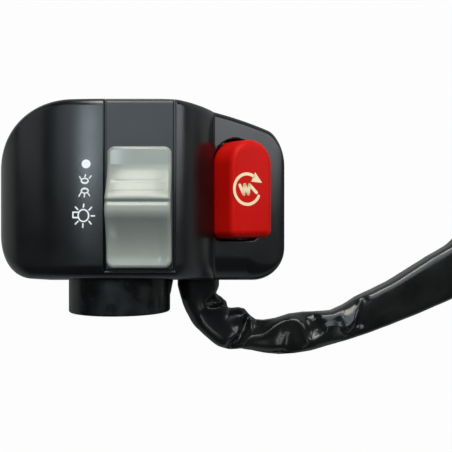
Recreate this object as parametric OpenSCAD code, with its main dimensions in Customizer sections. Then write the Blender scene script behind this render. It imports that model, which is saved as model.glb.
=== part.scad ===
// Handlebar switch cluster: a clamshell housing with a three-position light slider,
// a start button on a tilted pod, a bar collar and a sleeved lead with its connector.
// Millimetres. X runs across the handlebar, Y along it and Z out of the switch face.
// The origin is on the handlebar's axis; the part lies on its back at z = -back_h.

/* [Handlebar and collar] */
// Diameter of the handlebar that the housing clamps
bar_d = 22.2; // [21.8:0.1:22.6]
// Wall of the collar round the handlebar
collar_wall = 2.9; // [2.5:0.1:3.2]
// Length of collar that stands out of the housing
collar_reach = 8.6; // [7:0.2:12]

/* [Housing] */
// Reach of the lobe from the handlebar axis
lobe_reach = 31; // [30:0.5:34]
// Reach of the start pod from the handlebar axis
pod_reach = 46; // [45:0.2:49]
// Housing length above the origin, along the bar
upper_len = 21.2; // [20.6:0.2:23]
// Housing length below the origin, along the bar
lower_len = 25.2; // [25:0.2:27]
// Height of the switch face over the handlebar axis
face_h = 26; // [25.6:0.2:28]
// Depth of the flat back under the handlebar axis
back_h = 17; // [16.6:0.2:19]
// Wall of both shells
wall = 2.6; // [2.3:0.1:2.8]
// Lean of the start pod's face
pod_tilt = 31; // [29:1:33]

/* [Light slider] */
// Width of the channel for the slider
track_w = 17.4; // [17:0.1:18]
// Gap at each side between knob and channel
knob_side_gap = 0.8; // [0.4:0.1:0.9]
// Length of the knob along its travel
knob_len = 29.6; // [28.6:0.2:30.4]
// Height of the knob's crest over the track plate
crest_h = 5.2; // [4.4:0.2:6]
// Travel from headlight to off, over the middle detent
slider_travel = 9.6; // [8.8:0.4:10.4]

/* [Start button] */
// Width of the start button
button_w = 13.4; // [12.8:0.1:13.8]
// Length of the start button
button_len = 26; // [25:0.2:27]
// Height of the button over the pod's face
button_rise = 8; // [7:0.2:9]
// Travel of the button
button_travel = 2.8; // [2:0.2:3]

/* [Lead] */
// Diameter of the lead's sleeve
lead_d = 10.4; // [9.6:0.2:11]
// Width of the connector
connector_w = 17; // [16:0.5:19]
// Length of the connector body
connector_len = 22; // [20:1:26]

/* [Hidden] */
$fn = 48;
joint_gap = 0.05;
slide_gap = 0.2;
over = 1;
bar_r = bar_d / 2;
collar_r = bar_r + collar_wall;
flange_r = collar_r + 1.2;
flange_t = 2.2;
lug_w = 5;
lug_h = 0.8;
lug_len = 4;
flange_at = 2.6;
slit_w = 1.6;
seat_len = 6.4;
seat_wall = 1;
saddle_len = 6;
saddle_wall = 3;
rib_wall = 2;
rib_y = [-2, 1];

// Front outline: the lobe's corners, the crown that falls to the pod and the pod's corners
lobe_corner_w = 22.6;
lobe_corner_h = 20.4;
heel_w = 12;
heel_h = 14;
crown_x = 12;
crown_r = 88;
pod_corner_w = 4.8;
pod_corner_h = 8;
toe_r = 9;
lobe_wall_h = 4;
lobe_power = 2.2;
top_round = 1.8;
heel_round = 3.2;
pod_heel = 3;
pod_heel_run = 10;
heel_draft = 0.09;
back_round = 3;
back_flat_l = -11;
back_flat_r = 22;
back_lobe_drop = back_h - 4;
back_pod_drop = back_h - 2.5;
edge_blend = 1.6;
pod_edge_w = 3;
pod_edge_h = 0.6;
steepest = 2.3;
least_round = 0.8;
dx = 0.1;

// Switch face, flank and pod
track_x = 8.6;
face_l = track_x - track_w / 2;
face_r = track_x + track_w / 2;
pod_x = 26.3;
pod_drop = 13.2;
pod_h = face_h - pod_drop;
flank_power = 1.3;
flank_foot = 3;
ceiling = face_h - wall;
recess_floor = face_h - 1.4;
plate_t = 1;
plate_top = recess_floor + plate_t;
plate_gap = 0.5;
track_low = -21.2;
face_top_flat = upper_len - top_round;

// Small screws of the contact bases, the strap and the knob
small_r = 1;
small_hole_r = 1.1;
small_head_r = 1.8;
small_head_t = 1.2;
small_slot = 0.5;
small_bite = 4;
tail_r = 0.8;

// Slider
knob_low = track_low + 0.9;
knob_w = track_w - 2 * knob_side_gap;
knob_floor = plate_top + slide_gap;
knob_rim = 0.9;
knob_corner = 1.9;
stem_at = 14.8;
knob_rest_y = knob_low + stem_at;
stem_w = 4.8;
stem_len = 7;
slot_side = 0.3;
slot_end = 0.4;
carrier_w = 13;
carrier_len = 16;
carrier_top = ceiling - 0.3;
carrier_low = ceiling - 4.8;
stem_low = carrier_low + 1.5;
detent_step = slider_travel / 2;
detent_y = knob_rest_y + 3.5;
notch_r = 1.2;
notch_out = 0.3;
sink_r = 2.3;
sink_t = 1;
leaf_t = 0.4;
leaf_out = 0.5;

// Light contacts
base_top = ceiling - 6.4;
base_t = 2.5;
base_low = base_top - base_t;
base_half = 10.8;
base_x0 = track_x - base_half;
base_x1 = track_x + base_half;
base_y0 = -16;
base_y1 = 14.4;
pillar_dx = 8.6;
pillar_y = [-13.4, 12.4];
pillar_r = 1.9;
rail_dx = 4.5;
rail_w = 1;
dimple_h = 0.35;
rivet_t = 0.5;
tail_len = 1.4;
contact_r = 1.4;
contact_y = [for (k = [0:2]) knob_rest_y - detent_step + k * slider_travel];
strip_t = 0.5;

// Start button, along its own axis: zero is the pod's face
button_x = 32.6;
button_y = -0.4;
button_corner = 2.2;
button_gap = 0.6;
skirt_t = 0.2;
button_wall = 2;
button_draft = 0.4;
edge_h = 1.7;
edge_w = 1.8;
edge_mid = 0.3;
roof_t = 2.4;
well_depth = 4.6;
well_floor_t = 2;
well_wall = 1.8;
skirt_low = -well_depth + button_travel + 0.6;
guide_low = -well_depth - well_floor_t - 2.4;
button_stem_r = 2.2;
guide_gap = 0.08;
clip_t = 0.7;
clip_r = 3.6;
clip_mouth = 2.4;
neck_r = 1.6;
end_r = 1.2;
clip_top = guide_low - slide_gap - joint_gap;
bridge_top = clip_top - clip_t - 2.1;
bridge_t = 0.7;
bridge_len = 10.8;
bridge_w = 4;
start_rail_dx = 4;
start_contact_top = bridge_top - bridge_t - button_travel - 0.4;
start_base_top = start_contact_top - 0.7;
start_base_t = 2.4;
start_base_w = 12;
start_base_end = 2.2;
start_pillar_y = [-8.4, 6.4];
spring_wire_r = 0.4;
spring_r = 3.5;
spring_turns = 5;
spring_low = -well_depth;
spring_high = button_rise - roof_t;

// Housing screws
screw_at = [[-20.5, -2], [19, 14.6]];
screw_r = 2.5;
screw_head_r = 3.8;
screw_head_t = 2.6;
screw_seat = 7;
insert_r = 3.3;
insert_len = 8;
screw_reach = insert_len - 0.5;
boss_r = 4.6;
rear_boss_r = 5.4;
insert_floor = 1.5;
gusset_w = 2.4;

// Lead
lead_x = 21.6;
lead_r = lead_d / 2;
exit_z = -7.5;
floor_z = -back_h;
lead_z = floor_z + lead_r;
grommet_r = 6;
grommet_flange_r = 6.4;
wire_r = 0.7;
wire_pitch = 1.2;
clamp_w = 2.6;
clamp_y = -lower_len + seat_len + clamp_w / 2 + 0.3;
clamp_r = 2.6;
clamp_boss_dx = 5.6;
strap_t = 1.2;
strap_end = 2;
grommet_bore_r = 3.2;
grommet_flange_t = 1.5;
boot_len = 12;
boot_groove = 0.4;
connector_h = 11;
lead_end = [151.3, -6, lead_z];
lead_route = [
    [lead_x, -lower_len, exit_z], [lead_x, -30, exit_z], [22.4, -34, -8.6], [24.8, -38, -9.9],
    [29, -41, -11.2], [34.5, -42.4, lead_z], [41, -42.6, lead_z], [49, -41.8, lead_z],
    [58, -40.4, lead_z], [66.5, -37.8, lead_z], [75, -33.8, lead_z], [84, -30, lead_z],
    [93, -25.6, lead_z], [100.8, -20.6, lead_z], [106, -13.6, lead_z], [108.8, -5, lead_z],
    [109.4, 4, lead_z], [110.6, 12, lead_z], [114.8, 20, lead_z], [121.5, 25.5, lead_z],
    [130.3, 27.5, lead_z], [139, 25.5, lead_z], [145.8, 20, lead_z], [150, 12, lead_z],
    [151.3, 3, lead_z], lead_end];

// How far an elliptic corner of half-width a and depth b has dropped at s past its start
function corner_drop(s, a, b) = s <= 0 ? 0 : b * (1 - sqrt(max(0, 1 - pow(min(s / a, 1), 2))));

// Smooth lesser and greater of two heights, blended over k
function blend_less(a, b, k) = min(a, b) - pow(max(k - abs(a - b), 0), 2) / (4 * k);
function blend_more(a, b, k) = max(a, b) + pow(max(k - abs(a - b), 0), 2) / (4 * k);

function upper_edge(x) = upper_len
    - corner_drop(-lobe_reach + lobe_corner_w - x, lobe_corner_w, lobe_corner_h)
    - pow(max(0, x - crown_x), 2) / (2 * crown_r)
    - corner_drop(x - pod_reach + pod_corner_w, pod_corner_w, pod_corner_h);

function lower_edge(x) = -lower_len
    + corner_drop(-lobe_reach + heel_w - x, heel_w, heel_h)
    + corner_drop(x - pod_reach + toe_r, toe_r, toe_r);

function pod_face(x) = pod_h - (x - pod_x) * tan(pod_tilt);

// The shoulder from the switch face down to the pod, round at its top and steep at its foot
function flank(x) = let (s = max(0, (x - face_r) / (pod_x - face_r)))
    s < 1 ? pod_h + pod_drop * pow(1 - pow(s, flank_power), 1 / flank_power)
        : pod_h - (x - pod_x) * flank_foot;

function lobe_height(x) = let (s = min(1, (face_l - x) / (face_l + lobe_reach)))
    lobe_wall_h + (face_h - lobe_wall_h) * pow(1 - pow(s, lobe_power), 1 / lobe_power);

function front_height(x) = x < face_l ? lobe_height(x) : x < face_r ? face_h
    : blend_more(flank(x), pod_face(x) - corner_drop(x - pod_reach + pod_edge_w, pod_edge_w, pod_edge_h),
        edge_blend);

// Radius of the front's lower edge, larger under the pod
function heel_at(x) = heel_round + pod_heel * max(0, min(1, (x - face_r) / pod_heel_run));

function back_height(x) = back_h
    - corner_drop(back_flat_l - x, lobe_reach + back_flat_l, back_lobe_drop)
    - corner_drop(x - back_flat_r, pod_reach - back_flat_r, back_pod_drop);

// A quarter round from one side of a ring to its top, as [y, z] points
function ring_round(y, z, r, from, steps) = [for (k = [0:steps])
    let (a = from - 90 * k / steps) [y + r * cos(a), z + r * sin(a)]];

// Wall allowance of an inset at a slope
function allow(inset, slope) = inset * min(steepest, sqrt(1 + slope * slope));

// Section of a shell at x, inset from the outside, from the lower edge over the top to the upper edge
function shell_ring(x, inset, front) = let (
    h = front ? front_height(x) - allow(inset, (front_height(x + dx) - front_height(x - dx)) / (2 * dx))
        : back_height(x) - allow(inset, (back_height(x + dx) - back_height(x - dx)) / (2 * dx)),
    y0 = lower_edge(x) + allow(inset, (lower_edge(x + dx) - lower_edge(x - dx)) / (2 * dx)),
    y1 = upper_edge(x) - allow(inset, (upper_edge(x + dx) - upper_edge(x - dx)) / (2 * dx)),
    r0 = min(0.85 * h, max(least_round, (front ? heel_at(x) : back_round) - inset)),
    r1 = min(0.85 * h, max(least_round, (front ? top_round : back_round) - inset)),
    lean = front ? heel_draft * h : 0)
    [for (p = concat([[y0, inset > 0 ? -over : 0]], ring_round(y0 + lean + r0, h - r0, r0, 180, 5),
        ring_round(y1 - r1, h - r1, r1, 90, 4), [[y1, inset > 0 ? -over : 0]])) [x, p[0], p[1]]];

// Stations of a shell's sections from x0 to x1, close where the outline turns
function stations(x0, x1) = concat(
    [for (k = [0:11]) face_l - (face_l - x0) * cos(90 * k / 12)],
    [face_l, track_x, face_r - 1],
    [for (k = [0:8]) face_r + (pod_x - face_r) * (1 - cos(22.5 * k)) / 2], [pod_x + 1],
    [for (k = [1:8]) pod_x + 1 + (x1 - pod_x - 1) * sin(90 * k / 8)]);

// A closed skin through rings of equal point counts
module skin(rings) {
    n = len(rings[0]);
    last = len(rings) - 1;
    sides = [for (i = [0:last - 1], j = [0:n - 1], half = [0, 1]) let (k = (j + 1) % n)
        half == 0 ? [i * n + j, (i + 1) * n + k, (i + 1) * n + j]
            : [i * n + j, i * n + k, (i + 1) * n + k]];
    first_cap = [for (j = [n - 1:-1:0]) j];
    last_cap = [for (j = [0:n - 1]) last * n + j];
    polyhedron([for (ring = rings) each ring], concat(sides, [first_cap, last_cap]), convexity = 8);
}

function unit(v) = v / norm(v);

// Rings of a round tube along a route; up is never along the route
function tube_rings(route, r, sides, up) = [for (i = [0:len(route) - 1])
    let (t = unit(route[min(i + 1, len(route) - 1)] - route[max(i - 1, 0)]),
        u = unit(cross(t, up)), v = cross(u, t))
    [for (k = [0:sides - 1]) let (a = 360 * (k + 0.5) / sides) route[i] + r * (cos(a) * u + sin(a) * v)]];

// A rod of radius r along the handlebar's direction
module bar_rod(r, y0, y1) {
    translate([0, y0, 0]) rotate([-90, 0, 0]) cylinder(r = r, h = y1 - y0);
}

module post(x, y, r, z0, z1) {
    translate([x, y, z0]) cylinder(r = r, h = z1 - z0);
}

// A side view drawn in Y and Z, made x0 to x1 wide
module side_view(x0, x1) {
    translate([x0, 0, 0]) rotate([90, 0, 90]) linear_extrude(x1 - x0) children();
}

// Places a piece on the pod: Z is the button's axis, zero at the pod's face
module on_pod() {
    translate([button_x, button_y, pod_face(button_x)]) rotate([0, pod_tilt, 0]) children();
}

// The button's outline: a round end up and two small corners down
module button_outline(grow) {
    w = button_w + 2 * grow;
    low = -button_len / 2 - grow;
    translate([0, (button_len - button_w) / 2]) circle(d = w);
    translate([-w / 2, low + button_corner]) square([w, button_len - button_w / 2 + grow - button_corner]);
    translate([button_corner - w / 2, low]) square([w - 2 * button_corner, 2 * button_corner]);
    for (side = [-1, 1])
        translate([side * (w / 2 - button_corner), low + button_corner]) circle(r = button_corner);
}

// A pan head screw along Z, its seat at zero and its shank upwards
module pan_screw(r, reach, head_r, head_t, slot) {
    difference() {
        union() {
            cylinder(r = r, h = reach);
            translate([0, 0, -head_t]) cylinder(r1 = head_r * 0.8, r2 = head_r, h = head_t);
        }
        for (turn = [0, 90]) rotate(turn)
            translate([-head_r * 0.55, -slot / 2, -head_t - over])
                cube([head_r * 1.1, slot, over + head_t / 2]);
    }
}

module front_form(inset) {
    x0 = -lobe_reach + inset;
    x1 = inset == 0 ? pod_reach
        : min(pod_reach - inset, pod_x + (pod_h - inset / cos(pod_tilt) - 1.2) / tan(pod_tilt));
    skin([for (x = stations(x0, x1)) shell_ring(x, inset, true)]);
}

module back_form(inset) {
    x0 = -lobe_reach + inset;
    x1 = pod_reach - inset * 1.6;
    mirror([0, 0, 1]) skin([for (x = stations(x0, x1)) shell_ring(x, inset, false)]);
}

// What both shells cut away round the bar and the collar
module bar_cuts() {
    bar_rod(bar_r, -lower_len - over, upper_len + over);
    bar_rod(collar_r + joint_gap, -lower_len - over, -lower_len + seat_len + over);
    bar_rod(flange_r + joint_gap, -lower_len + flange_at, -lower_len + flange_at + flange_t + slide_gap);
}

// The slot that the knob's stem travels in
module stem_slot(z0) {
    translate([track_x - stem_w / 2 - slot_side, knob_rest_y - stem_len / 2 - slot_end, z0])
        cube([stem_w + 2 * slot_side, stem_len + slider_travel + 2 * slot_end, face_h]);
}

// Front shell: the lobe, the switch face with the slider's recess, the flank and the start pod
module front_shell() color([0.07, 0.07, 0.08]) difference() {
    union() {
        difference() {
            front_form(0);
            difference() {
                front_form(wall);
                bar_rod(flange_r + seat_wall, -lower_len, -lower_len + seat_len);
                bar_rod(bar_r + saddle_wall, upper_len - saddle_len, upper_len);
                for (at = screw_at)
                    post(at[0], at[1], boss_r, -over, at[0] < 0 ? face_h : insert_len + insert_floor);
                translate([screw_at[1][0] - gusset_w / 2, screw_at[1][1], -over])
                    cube([gusset_w, upper_len - screw_at[1][1], insert_len + over]);
                for (side = [-1, 1], y = pillar_y)
                    post(track_x + side * pillar_dx, y, pillar_r, base_top, face_h);
                on_pod() translate([0, 0, -well_depth - well_floor_t])
                    linear_extrude(button_rise + well_depth) button_outline(button_gap + well_wall);
            }
            bar_cuts();
        }
        on_pod() {
            translate([0, 0, guide_low])
                cylinder(r = button_stem_r + well_wall, h = -well_depth - guide_low - well_floor_t / 2);
            for (y = start_pillar_y)
                translate([0, y, start_base_top])
                    cylinder(r = pillar_r, h = -well_depth - start_base_top - well_floor_t / 2);
        }
    }
    translate([face_l, track_low, recess_floor])
        cube([track_w, upper_len - track_low + over, face_h]);
    stem_slot(ceiling - over);
    on_pod() {
        translate([0, 0, -well_depth]) linear_extrude(face_h) button_outline(button_gap);
        translate([0, 0, guide_low - over])
            cylinder(r = button_stem_r + guide_gap, h = well_depth + well_floor_t + over);
        for (y = start_pillar_y) translate([0, y, start_base_top - over])
            cylinder(r = small_r + joint_gap, h = over + small_bite + slide_gap);
    }
    for (at = screw_at) post(at[0], at[1], insert_r + joint_gap, -over, insert_len + 0.5);
    for (side = [-1, 1], y = pillar_y)
        post(track_x + side * pillar_dx, y, small_r + joint_gap, base_top - over,
            base_top + small_bite + slide_gap);
}

// Rear shell: the flat back, with the screw wells, the bar saddles and the lead's exit
module rear_shell() color([0.06, 0.06, 0.07]) difference() {
    back_form(0);
    difference() {
        back_form(wall);
        bar_rod(flange_r + seat_wall, -lower_len, -lower_len + seat_len);
        bar_rod(bar_r + saddle_wall, upper_len - saddle_len, upper_len);
        translate([-bar_r - rib_wall, rib_y[0], -back_h])
            cube([2 * (bar_r + rib_wall), rib_y[1] - rib_y[0], back_h]);
        for (at = screw_at) post(at[0], at[1], rear_boss_r, -back_h, over);
        for (side = [-1, 1])
            post(lead_x + side * clamp_boss_dx, clamp_y, 2 * small_r, -back_h, exit_z - strap_t - joint_gap);
    }
    bar_cuts();
    for (at = screw_at) {
        post(at[0], at[1], screw_head_r + slot_side, -back_h - over, -screw_seat);
        post(at[0], at[1], screw_r + joint_gap, -back_h, over);
    }
    for (side = [-1, 1])
        post(lead_x + side * clamp_boss_dx, clamp_y, small_r + joint_gap,
            exit_z - strap_t - small_bite - 2 * slide_gap, exit_z);
    translate([lead_x, 0, exit_z])
        bar_rod(grommet_r + joint_gap, -lower_len - over, -lower_len + wall + over);
}

// Collar round the bar; its flange sits in a groove of both shells and its lug against their end
module bar_collar() color([0.05, 0.05, 0.05]) difference() {
    union() {
        translate([collar_r, -lower_len, -lug_w / 2]) linear_extrude(lug_w)
            polygon([[-1, 0], [lug_h, 0], [0, -lug_len], [-1, -lug_len]]);
        bar_rod(collar_r, -lower_len - collar_reach, -lower_len + seat_len);
        translate([0, flange_at + slide_gap / 2 - lower_len, 0]) bar_rod(flange_r, 0, flange_t);
    }
    bar_rod(bar_r, -lower_len - collar_reach - over, upper_len);
    translate([-slit_w / 2, -lower_len - collar_reach - over, -flange_r - over])
        cube([slit_w, collar_reach + lower_len, flange_r + 2 * over - bar_r]);
}

// Plate in the recess that the knob runs on
module track_plate() color([0.09, 0.09, 0.1]) difference() {
    side_view(face_l + plate_gap, face_r - plate_gap) {
        translate([track_low + plate_gap, recess_floor])
            square([face_top_flat - track_low - plate_gap, plate_t]);
        intersection() {
            translate([face_top_flat, face_h - top_round]) circle(r = top_round - joint_gap);
            translate([face_top_flat - over, recess_floor]) square([top_round + over, plate_t]);
        }
    }
    stem_slot(recess_floor - over);
}

// Knob heights along its length, from the lower end at zero
pad_len = 15;
ramp_from = 17.3;
ramp_to = 23.5;
ramp_power = 1.6;
tail_t = 1.5;
tail_drop = 0.2;
dish_depth = 2;
dish_run = 9.6;
dish_lift = 0.35;
lip_run = 0.6;
rim_share = 0.35;
recess_t = 0.3;
nose_w = 0.6;
groove_r = 0.7;
groove_at = pad_len + 0.65;
function ease(v, low, high) = let (t = max(0, min(1, (v - low) / (high - low)))) t * t * (3 - 2 * t);
function ramp(y) = tail_t + (crest_h - tail_t)
    * pow(max(0, min(1, (ramp_to - y) / (ramp_to - ramp_from))), ramp_power);

// Depth of the thumb pad's hollow: it falls from the crest and rises a little to the lower end
function dish(y) = dish_depth * ease(pad_len - y, -lip_run, dish_run)
    - dish_lift * ease(pad_len - y, dish_run, pad_len);

// Rounded plan of the knob
module knob_plan() {
    r = knob_corner;
    translate([track_x - knob_w / 2 + r, knob_low]) square([knob_w - 2 * r, knob_len]);
    translate([track_x - knob_w / 2, knob_low + r]) square([knob_w, knob_len - 2 * r]);
    for (x = [r - knob_w / 2, knob_w / 2 - r], y = [r, knob_len - r])
        translate([track_x + x, knob_low + y]) circle(r = r);
}

// Slider knob: a dished pad between side rims, a crest with a groove, and a ramp down to the thin end
module slider_knob() color([0.62, 0.63, 0.6]) difference() {
    union() {
        intersection() {
            translate([0, 0, knob_floor]) linear_extrude(crest_h + over) knob_plan();
            side_view(face_l, face_r) translate([knob_low, knob_floor]) polygon(concat(
                [[0, 0], [0, crest_h - rim_share * dish(0) - nose_w]],
                [for (k = [0:8]) let (y = nose_w + k * (pad_len - nose_w) / 8)
                    [y, crest_h - rim_share * dish(y)]],
                [[ramp_from, crest_h]],
                [for (k = [1:8]) let (y = ramp_from + k * (ramp_to - ramp_from) / 8) [y, ramp(y)]],
                [[knob_len, tail_t - tail_drop], [knob_len, 0]]));
        }
        translate([track_x - stem_w / 2, knob_rest_y - stem_len / 2, stem_low])
            cube([stem_w, stem_len, knob_floor - stem_low + tail_t / 3]);
    }
    side_view(track_x - knob_w / 2 + knob_rim, track_x + knob_w / 2 - knob_rim)
        translate([knob_low, knob_floor]) polygon(concat(
            [[-over, crest_h - dish(0) - nose_w - over]],
            [for (k = [0:12]) let (y = nose_w + k * (pad_len - nose_w) / 12) [y, crest_h - dish(y)]],
            [[pad_len, crest_h + over], [-over, crest_h + over]]));
    side_view(track_x - knob_w / 2 + knob_rim, track_x + knob_w / 2 - knob_rim)
        translate([knob_low, knob_floor]) polygon(concat(
            [for (k = [0:8]) let (y = ramp_from + nose_w + k * (ramp_to - ramp_from - nose_w) / 8)
                [y, ramp(y) - recess_t]],
            [[knob_len - knob_rim, tail_t - tail_drop - recess_t],
            [knob_len - knob_rim, crest_h + over], [ramp_from + nose_w, crest_h + over]]));
    translate([face_l, knob_low + groove_at, knob_floor + crest_h]) rotate([0, 90, 0])
        cylinder(r = groove_r, h = track_w);
    post(track_x, knob_rest_y, small_r + joint_gap, stem_low - over, stem_low + small_bite + 0.4);
}

// Carrier inside the housing, on the knob's stem, with three detent notches on its side
module slider_carrier() color([0.85, 0.83, 0.75]) difference() {
    translate([track_x - carrier_w / 2, knob_rest_y - carrier_len / 2, carrier_low])
        cube([carrier_w, carrier_len, carrier_top - carrier_low]);
    translate([track_x - stem_w / 2 - joint_gap, knob_rest_y - stem_len / 2 - joint_gap, stem_low])
        cube([stem_w + 2 * joint_gap, stem_len + 2 * joint_gap, carrier_top]);
    post(track_x, knob_rest_y, small_hole_r, carrier_low - over, stem_low + over);
    post(track_x, knob_rest_y, sink_r, carrier_low - over, carrier_low + sink_t);
    for (k = [0:2])
        post(track_x + carrier_w / 2 + notch_out, detent_y - k * detent_step, notch_r,
            carrier_low - over, ceiling);
}

module knob_screw() color([0.6, 0.6, 0.62])
    translate([track_x, knob_rest_y, carrier_low + sink_t])
        pan_screw(small_r, small_bite + 0.4, sink_r - 0.3, sink_t - 0.1, small_slot);

// Bridge that joins two rivets of each rail
module contact_bridge() color([0.8, 0.62, 0.3]) {
    translate([track_x, knob_rest_y, carrier_low - strip_t]) linear_extrude(strip_t) difference() {
        square([2 * (rail_dx + rail_w), slider_travel + 3 * rail_w], center = true);
        translate([0, 1.6 * rail_w])
            square([2 * (rail_dx - rail_w), slider_travel + 3 * rail_w], center = true);
    }
    for (side = [-1, 1], y = [-detent_step, detent_step])
        post(track_x + side * rail_dx, knob_rest_y + y, tail_r, carrier_low - strip_t - dimple_h,
            carrier_low - strip_t / 2);
}

// Leaf that clicks into the carrier's notches; it stands on the base between two pillars
module detent_leaf() color([0.7, 0.7, 0.72])
    translate([0, 0, base_top]) linear_extrude(carrier_top - base_top) {
        translate([track_x + carrier_w / 2 + leaf_out, pillar_y[0] + pillar_r + slide_gap])
            square([leaf_t, pillar_y[1] - pillar_y[0] - 2 * (pillar_r + slide_gap)]);
        intersection() {
            translate([track_x + carrier_w / 2 + notch_out, detent_y]) circle(r = notch_r - slot_side);
            translate([track_x + carrier_w / 2 - notch_r, detent_y - notch_r])
                square([notch_r + leaf_out + leaf_t / 2, 2 * notch_r]);
        }
    }

module light_base() color([0.45, 0.28, 0.15]) difference() {
    translate([base_x0, base_y0, base_low]) cube([base_x1 - base_x0, base_y1 - base_y0, base_t]);
    for (side = [-1, 1], y = contact_y)
        post(track_x + side * rail_dx, y, tail_r + joint_gap, base_low - over, base_top + over);
    for (side = [-1, 1], y = pillar_y)
        post(track_x + side * pillar_dx, y, small_hole_r, base_low - over, base_top + over);
}

module light_contacts() color([0.8, 0.62, 0.3])
    for (side = [-1, 1], y = contact_y) {
        post(track_x + side * rail_dx, y, contact_r, base_top, base_top + rivet_t);
        post(track_x + side * rail_dx, y, tail_r, base_low - tail_len, base_top + rivet_t / 2);
    }

module light_base_screws() color([0.6, 0.6, 0.62])
    for (side = [-1, 1], y = pillar_y)
        translate([track_x + side * pillar_dx, y, base_low])
            pan_screw(small_r, base_t + small_bite, small_head_r, small_head_t, small_slot);

// Start button: a tapered cap with an eased edge, hollow below, on a stem
module start_button() color([0.75, 0.05, 0.05]) on_pod() {
    difference() {
        hull() {
            translate([0, 0, skirt_low]) linear_extrude(skirt_t) button_outline(0);
            translate([0, 0, button_rise - edge_h]) linear_extrude(skirt_t / 2) button_outline(-button_draft);
            translate([0, 0, button_rise - edge_mid * edge_h]) linear_extrude(skirt_t / 2)
                button_outline(-button_draft - edge_mid * (edge_w - button_draft));
            translate([0, 0, button_rise - skirt_t / 2]) linear_extrude(skirt_t / 2) button_outline(-edge_w);
        }
        translate([0, 0, skirt_low - over]) linear_extrude(spring_high - skirt_low + over)
            button_outline(-button_wall);
    }
    difference() {
        translate([0, 0, bridge_top]) cylinder(r = button_stem_r, h = spring_high - bridge_top + roof_t / 4);
        difference() {
            translate([0, 0, clip_top - clip_t - joint_gap])
                cylinder(r = button_stem_r + over, h = clip_t + 2 * joint_gap);
            translate([0, 0, bridge_top]) cylinder(r = neck_r, h = -bridge_top);
        }
    }
    translate([0, 0, bridge_top - bridge_t - slide_gap])
        cylinder(r = end_r, h = bridge_t + slide_gap + over / 2);
}

// Return spring round the stem, from the well's floor to the button's roof
spring_points = [for (k = [0:8 * spring_turns])
    let (rise = spring_high - spring_low - 2 * (spring_wire_r + 2 * joint_gap))
    [spring_r * cos(45 * k), spring_r * sin(45 * k),
    spring_low + spring_wire_r + 2 * joint_gap + k * rise / (8 * spring_turns)]];
spring_self_gap = (spring_points[8][2] - spring_points[0][2]) - 2 * spring_wire_r;
echo(spring_self_gap = spring_self_gap);

module start_spring() color([0.7, 0.7, 0.72])
    on_pod() skin(tube_rings(spring_points, spring_wire_r, 6, [0, 0, 1]));

module stem_clip() color([0.5, 0.5, 0.52]) on_pod() translate([0, 0, clip_top - clip_t]) difference() {
    cylinder(r = clip_r, h = clip_t);
    translate([0, 0, -over]) cylinder(r = neck_r + joint_gap, h = clip_t + 2 * over);
    translate([0, -clip_mouth / 2, -over]) cube([clip_r + over, clip_mouth, clip_t + 2 * over]);
}

// Bar that closes the start contact, riveted to the stem's end
module start_bridge() color([0.8, 0.62, 0.3]) on_pod() translate([0, 0, bridge_top - bridge_t])
    linear_extrude(bridge_t) difference() {
        square([bridge_len, bridge_w], center = true);
        circle(r = end_r + joint_gap);
    }

module start_base() color([0.45, 0.28, 0.15]) on_pod() difference() {
    translate([-start_base_w / 2, start_pillar_y[0] - start_base_end, start_base_top - start_base_t])
        cube([start_base_w, start_pillar_y[1] - start_pillar_y[0] + 2 * start_base_end, start_base_t]);
    for (side = [-1, 1]) translate([side * start_rail_dx, 0, start_base_top - start_base_t - over])
        cylinder(r = tail_r + joint_gap, h = start_base_t + 2 * over);
    for (y = start_pillar_y) translate([0, y, start_base_top - start_base_t - over])
        cylinder(r = small_hole_r, h = start_base_t + 2 * over);
}

module start_contacts() color([0.8, 0.62, 0.3]) on_pod() for (side = [-1, 1]) {
    translate([side * start_rail_dx, 0, start_base_top])
        cylinder(r = contact_r, h = start_contact_top - start_base_top);
    translate([side * start_rail_dx, 0, start_base_top - start_base_t - tail_len])
        cylinder(r = tail_r, h = start_base_t + tail_len + rivet_t / 2);
}

module start_base_screws() color([0.6, 0.6, 0.62]) on_pod() for (y = start_pillar_y)
    translate([0, y, start_base_top - start_base_t])
        pan_screw(small_r, start_base_t + small_bite, small_head_r, small_head_t, small_slot);

module housing_screws() color([0.6, 0.6, 0.62]) for (at = screw_at)
    translate([at[0], at[1], -screw_seat])
        pan_screw(screw_r, screw_seat + screw_reach, screw_head_r, screw_head_t, 2 * small_slot);

module screw_inserts() color([0.8, 0.65, 0.35]) for (at = screw_at) difference() {
    post(at[0], at[1], insert_r, 0.2, insert_len);
    post(at[0], at[1], screw_r + joint_gap, -over, insert_len + over);
}

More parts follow.
